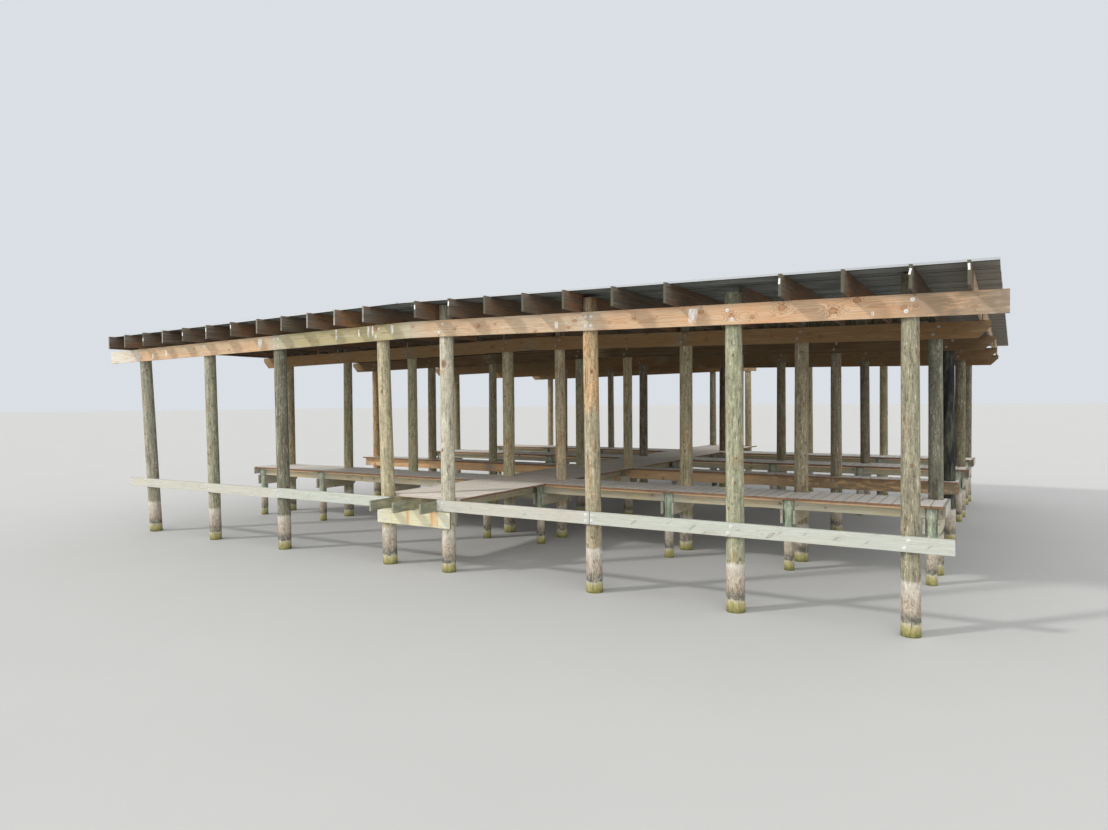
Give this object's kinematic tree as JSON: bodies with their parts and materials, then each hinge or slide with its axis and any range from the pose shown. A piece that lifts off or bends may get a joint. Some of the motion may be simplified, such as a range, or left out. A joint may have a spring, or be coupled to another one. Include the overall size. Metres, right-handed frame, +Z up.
{
  "type": "covered timber jetty",
  "caption": "Covered timber jetty on round piles, with a middle walkway, side fingers between boat slips and a low metal roof.",
  "frame": {"origin": "centre of the footprint at the water line, where the piles are cut off", "axes": "+X to the right along the open water front, +Y from open water towards the shore, +Z up"},
  "size_m": [18.78, 19.679, 4.7538],
  "materials": {
    "pile_wood": "round treated piles, weathered grey-green, streaked",
    "green_post_wood": "round treated posts, green, with pale droppings on top",
    "front_header_wood": "new orange-tan boards with knots and pale streaks",
    "inner_header_wood": "brown boards, dull",
    "rafter_wood": "dark grey-brown rough boards",
    "roof_metal": "ribbed bare galvanised sheet, dull below",
    "treated_wood": "pale green treated board with rust stains",
    "joist_wood": "grey-green treated boards",
    "brown_beam_wood": "olive-brown boards",
    "nailer_wood": "orange-brown strips",
    "deck_wood": "grey weathered deck boards with red-brown ends",
    "end_board_wood": "pale grey weathered boards",
    "bumper_wood": "pale green-white new treated boards"
  },
  "bodies": {
    "root": {"row_1_piles": "pile_wood", "row_2_piles": "pile_wood", "row_3_piles": "pile_wood", "row_4_piles": "pile_wood", "row_5_piles": "pile_wood", "row_6_piles": "pile_wood", "finger_a_posts": "green_post_wood", "finger_c_posts": "green_post_wood", "finger_d_posts": "green_post_wood", "front_header_boards": "front_header_wood", "row_2_header": "inner_header_wood", "row_3_header": "inner_header_wood", "row_4_header": "inner_header_wood", "row_5_header": "inner_header_wood", "row_6_header": "inner_header_wood", "rafters_left": "rafter_wood", "rafters_right": "rafter_wood", "roof_sheets_left": "roof_metal", "roof_sheets_right": "roof_metal", "walkway_cap_boards": "treated_wood", "walkway_joists": "joist_wood", "walkway_deck": "deck_wood", "finger_a_cross_beams": "joist_wood", "finger_c_cross_beams": "joist_wood", "finger_d_cross_beams": "joist_wood", "finger_a_stringers": "joist_wood", "finger_b_beams": "brown_beam_wood", "finger_c_stringers": "joist_wood", "finger_d_stringers": "joist_wood", "finger_a_nailers": "nailer_wood", "finger_c_nailers": "nailer_wood", "finger_d_nailers": "nailer_wood", "finger_a_deck_left": "deck_wood", "finger_a_deck_right": "deck_wood", "finger_b_deck_left": "deck_wood", "finger_b_deck_right": "deck_wood", "finger_c_deck_left": "deck_wood", "finger_c_deck_right": "deck_wood", "finger_d_deck_left": "deck_wood", "finger_d_deck_right": "deck_wood", "finger_end_boards": "end_board_wood", "bumper_boards": "bumper_wood"}
  },
  "joints": []
}
